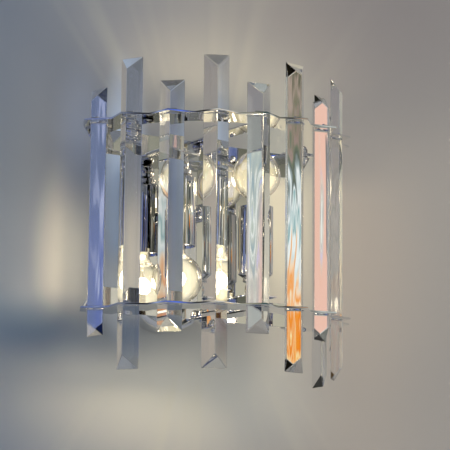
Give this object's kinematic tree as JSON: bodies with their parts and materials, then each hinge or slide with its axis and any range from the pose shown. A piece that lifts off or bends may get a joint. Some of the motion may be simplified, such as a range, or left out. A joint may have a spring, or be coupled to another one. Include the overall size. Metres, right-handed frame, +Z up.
{
  "type": "crystal wall sconce",
  "caption": "Half-round wall sconce: mitred trihedral crystals through two zigzag chrome plates, mirror plate and two bare bulbs in chrome sleeves.",
  "frame": {"origin": "on the wall, midway between the two wall screws", "axes": "+Z up, +Y into the wall, -Y towards the room, +X to the right seen from the room"},
  "size_m": [0.2702, 0.2048, 0.272],
  "materials": {
    "polished_chrome": "mirror polished",
    "crystal_glass": "clear cut crystal, polished",
    "plain_steel": "zinc plated",
    "bulb_glass": "clear, smooth",
    "bulb_cap_metal": "bright",
    "filament_wire": "drawn wire",
    "brass": "plain",
    "porcelain": "glazed white porcelain",
    "block_plastic": "matt",
    "flex_cover": "satin",
    "grommet_rubber": "matt"
  },
  "bodies": {
    "fixed_frame": {"upper_plate": "polished_chrome", "lower_plate": "polished_chrome", "upper_back_bar": "polished_chrome", "lower_back_bar": "polished_chrome", "plate_screws": "polished_chrome", "plate_acorn_nuts": "polished_chrome", "mirror_plate": "polished_chrome", "mirror_screws": "polished_chrome", "canopy": "polished_chrome", "neck_tube": "polished_chrome", "cap_nut": "polished_chrome", "left_sleeve": "polished_chrome", "right_sleeve": "polished_chrome", "sleeve_caps": "polished_chrome", "ball_collars": "polished_chrome", "lamp_nuts": "polished_chrome", "mirror_nuts": "plain_steel", "wall_strap": "plain_steel", "earth_screw": "plain_steel", "nipple_nut": "plain_steel", "centre_nipple": "plain_steel", "lamp_nipples": "plain_steel", "cable_grommet": "grommet_rubber", "terminal_block": "block_plastic", "left_lampholder": "porcelain", "left_lamp_flex": "flex_cover", "right_lampholder": "porcelain", "right_lamp_flex": "flex_cover", "holder_shells": "brass", "holder_contacts": "brass"},
    "hung_crystal_01": {"crystal_01": "crystal_glass", "crystal_pin_01": "plain_steel"},
    "hung_crystal_02": {"crystal_02": "crystal_glass", "crystal_pin_02": "plain_steel"},
    "hung_crystal_03": {"crystal_03": "crystal_glass", "crystal_pin_03": "plain_steel"},
    "hung_crystal_04": {"crystal_04": "crystal_glass", "crystal_pin_04": "plain_steel"},
    "hung_crystal_05": {"crystal_05": "crystal_glass", "crystal_pin_05": "plain_steel"},
    "hung_crystal_06": {"crystal_06": "crystal_glass", "crystal_pin_06": "plain_steel"},
    "hung_crystal_07": {"crystal_07": "crystal_glass", "crystal_pin_07": "plain_steel"},
    "hung_crystal_08": {"crystal_08": "crystal_glass", "crystal_pin_08": "plain_steel"},
    "hung_crystal_09": {"crystal_09": "crystal_glass", "crystal_pin_09": "plain_steel"},
    "hung_crystal_10": {"crystal_10": "crystal_glass", "crystal_pin_10": "plain_steel"},
    "left_bulb": {"left_bulb_glass": "bulb_glass", "left_bulb_cap": "bulb_cap_metal", "left_bulb_stem": "bulb_glass", "left_bulb_filament": "filament_wire"},
    "right_bulb": {"right_bulb_glass": "bulb_glass", "right_bulb_cap": "bulb_cap_metal", "right_bulb_stem": "bulb_glass", "right_bulb_filament": "filament_wire"}
  },
  "joints": [
    {"name": "crystal_01_lift", "type": "slide", "parent": "fixed_frame", "child": "hung_crystal_01", "axis": [0, 0, 1], "range_m": [0, 0.19]},
    {"name": "crystal_02_lift", "type": "slide", "parent": "fixed_frame", "child": "hung_crystal_02", "axis": [0, 0, 1], "range_m": [0, 0.221]},
    {"name": "crystal_03_lift", "type": "slide", "parent": "fixed_frame", "child": "hung_crystal_03", "axis": [0, 0, 1], "range_m": [0, 0.19]},
    {"name": "crystal_04_lift", "type": "slide", "parent": "fixed_frame", "child": "hung_crystal_04", "axis": [0, 0, 1], "range_m": [0, 0.221]},
    {"name": "crystal_05_lift", "type": "slide", "parent": "fixed_frame", "child": "hung_crystal_05", "axis": [0, 0, 1], "range_m": [0, 0.19]},
    {"name": "crystal_06_lift", "type": "slide", "parent": "fixed_frame", "child": "hung_crystal_06", "axis": [0, 0, 1], "range_m": [0, 0.221]},
    {"name": "crystal_07_lift", "type": "slide", "parent": "fixed_frame", "child": "hung_crystal_07", "axis": [0, 0, 1], "range_m": [0, 0.19]},
    {"name": "crystal_08_lift", "type": "slide", "parent": "fixed_frame", "child": "hung_crystal_08", "axis": [0, 0, 1], "range_m": [0, 0.221]},
    {"name": "crystal_09_lift", "type": "slide", "parent": "fixed_frame", "child": "hung_crystal_09", "axis": [0, 0, 1], "range_m": [0, 0.19]},
    {"name": "crystal_10_lift", "type": "slide", "parent": "fixed_frame", "child": "hung_crystal_10", "axis": [0, 0, 1], "range_m": [0, 0.221]},
    {"name": "left_bulb_out", "type": "slide", "parent": "fixed_frame", "child": "left_bulb", "axis": [0, 0, -1], "range_m": [0, 0.03]},
    {"name": "right_bulb_out", "type": "slide", "parent": "fixed_frame", "child": "right_bulb", "axis": [0, 0, 1], "range_m": [0, 0.03]}
  ]
}
